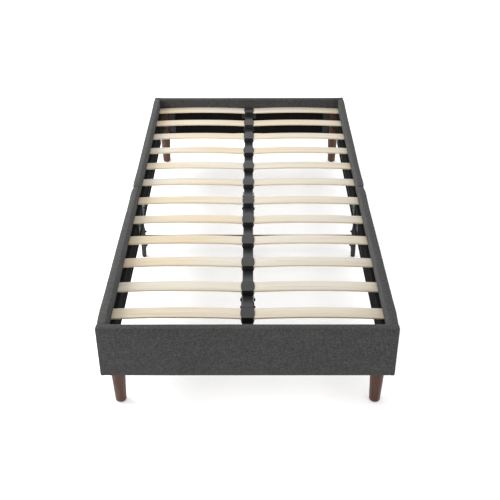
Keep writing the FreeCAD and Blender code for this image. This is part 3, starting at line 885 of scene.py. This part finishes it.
bolt_low, bolt_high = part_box("beam_bolts")
cradle_side = bolt_high.x - HEAD_HEIGHT
bolt_level = (bolt_low.z + bolt_high.z) / 2
number = 0
for cradle_name, offsets in CRADLE_BOLTS:
    cradle_low, cradle_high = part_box("beam_%s_cradle" % cradle_name)
    for offset in offsets:
        for side_name, side_sign in SIDES:
            number += 1
            place = (side_sign * cradle_side, (cradle_low.y + cradle_high.y) / 2 + offset * MM,
                     bolt_level)
            socket_head("beam_bolt_head_%02d" % number, place, (side_sign, 0, 0), "beam_bolts")

leg_low, leg_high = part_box("right_support_leg")
support_y = (leg_low.y + leg_high.y) / 2
plate_low, plate_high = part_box("rail_joint_plates")
crossbar_low, crossbar_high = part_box("right_crossbar")
for side_name, side_sign in SIDES:
    for level_name, level in CROSSBAR_LEVELS:
        knob("%s_%s_knob" % (side_name, level_name),
             (side_sign * (crossbar_high.x - 2 * MM), support_y, level), (-side_sign, 0, 0),
             "frame_bolts")
        socket_head("%s_%s_centre_bolt" % (side_name, level_name),
                    (side_sign * (crossbar_low.x + 2 * MM), support_y, level), (side_sign, 0, 0),
                    "frame_bolts")
    number = 0
    for level in (plate_low.z + PLATE_BOLT_INSET, plate_high.z - PLATE_BOLT_INSET):
        for y in PLATE_BOLTS_Y:
            number += 1
            socket_head("%s_plate_bolt_%02d" % (side_name, number),
                        (side_sign * (INNER_X - 2 * MM), y * MM, level), (-side_sign, 0, 0),
                        "frame_bolts")
    for end_name, end_sign in ENDS:
        socket_head("%s_%s_leg_bolt" % (end_name, side_name),
                    (side_sign * (HIGH.x - LEG_INSET),
                     end_sign * (INNER_Y - STEEL - LEG_BLOCK), LEG_BOLT_LEVEL),
                    (0, -end_sign, 0), "frame_bolts")


# ---------------------------------------------------------------------------
# Softened edges on the steel and plastic that the CAD model keeps
# ---------------------------------------------------------------------------
def soften(node, width):
    """Breaks the sharp edges of a kept CAD node a little."""
    step = frame["nodes"][node].modifiers.new("soft_edges", "BEVEL")
    step.width = width
    step.segments = 2
    step.limit_method = "ANGLE"
    step.angle_limit = math.radians(50)


for entry in frame["record"]["subparts"]:
    if entry["material_slot"] in ("black_steel", "black_plastic"):
        soften(entry["node"], 0.5 * MM)


# ---------------------------------------------------------------------------
# Floor, light and camera
# ---------------------------------------------------------------------------
def floor():
    """A wide pale floor, softly lit from below like a light table."""
    reach = 14
    corners = [(-reach, -reach, 0), (reach, -reach, 0), (reach, reach, 0), (-reach, reach, 0)]
    item = mesh_object("studio_floor", corners, [(0, 1, 2, 3)], smooth=False)
    nodes = Nodes("pale_floor")
    grain = nodes.noise(nodes.place, 3.0)
    nodes.colour(nodes.ramp(grain, [(0.0, (0.90, 0.90, 0.90)), (1.0, (0.92, 0.92, 0.92))]))
    nodes.set("Roughness", 0.9)
    nodes.set("Specular IOR Level", 0.1)
    nodes.set("Emission Color", (1, 1, 1, 1))
    nodes.set("Emission Strength", 0.2)
    item.data.materials.append(nodes.material)


def area_light(name, place, target, size, power):
    """A soft rectangular light that points at a target."""
    data = bpy.data.lights.new(name, "AREA")
    data.shape = "RECTANGLE"
    data.size, data.size_y = size
    data.energy = power
    item = bpy.data.objects.new(name, data)
    bpy.context.scene.collection.objects.link(item)
    item.location = place
    item.rotation_euler = (Vector(target) - Vector(place)).to_track_quat("-Z", "Y").to_euler()
    return item


def world(strength):
    """Even white surroundings."""
    surroundings = bpy.data.worlds.new("studio")
    surroundings.use_nodes = True
    background = surroundings.node_tree.nodes["Background"]
    background.inputs["Color"].default_value = (1, 1, 1, 1)
    background.inputs["Strength"].default_value = strength
    bpy.context.scene.world = surroundings


def camera():
    """A place centred in front of the foot end, looking down along the bed."""
    data = bpy.data.cameras.new("camera")
    data.lens = 59.3
    data.sensor_width = 36.0
    data.clip_end = 100
    item = bpy.data.objects.new("camera", data)
    bpy.context.scene.collection.objects.link(item)
    distance, height, aside = 2.248, 2.144, 0.0160
    pitch, yaw, roll = math.radians(90 - 32.75), math.radians(0.16), math.radians(-0.117)
    place = Matrix.Translation((aside, LOW.y - distance, height))
    item.matrix_world = place @ Matrix.Rotation(yaw, 4, "Z") @ Matrix.Rotation(pitch, 4, "X") \
        @ Matrix.Rotation(roll, 4, "Z")
    bpy.context.scene.camera = item


floor()
area_light("key", place=(-2.3, 0.1, 1.35), target=(0, 0, 0.2), size=(2.2, 1.6), power=80)
area_light("back", place=(0.2, 4.2, 3.0), target=(0, 0.4, 0.3), size=(3.0, 1.6), power=35)
world(strength=1.1)
bpy.context.scene.view_settings.view_transform = "Standard"
camera()
